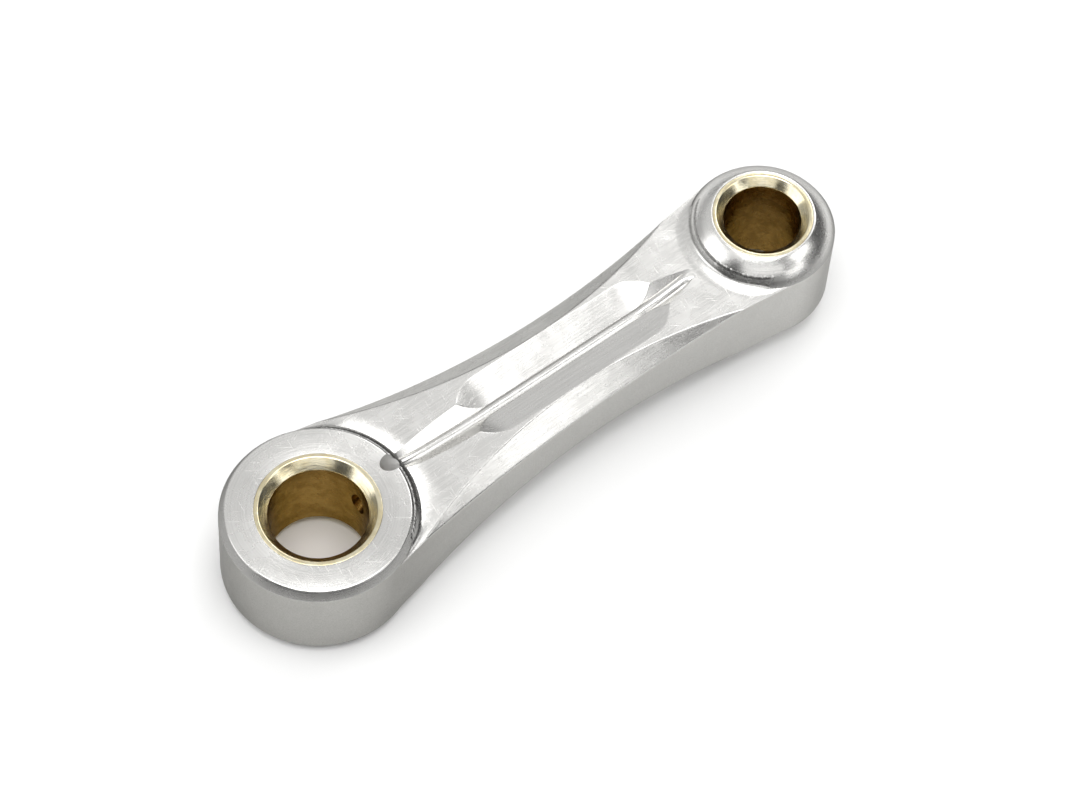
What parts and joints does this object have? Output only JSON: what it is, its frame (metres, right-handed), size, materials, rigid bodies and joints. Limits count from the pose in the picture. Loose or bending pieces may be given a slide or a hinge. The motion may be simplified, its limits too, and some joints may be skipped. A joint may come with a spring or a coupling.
{
  "type": "connecting rod",
  "caption": "Small waisted aluminium connecting rod with a ribbed shank and a pressed bronze bush in each eye, for a model engine.",
  "frame": {"origin": "on the axis of the big end bore, half way through the rod's thickness", "axes": "+X from the big end to the small end, +Z along both bores, +Y across the shank"},
  "size_m": [0.0374, 0.0098, 0.0066],
  "materials": {
    "machined_aluminium": "machined, lightly polished",
    "bearing_bronze": "bored and chamfered"
  },
  "bodies": {
    "root": {"rod_body": "machined_aluminium", "big_end_bush": "bearing_bronze", "small_end_bush": "bearing_bronze"}
  },
  "joints": []
}
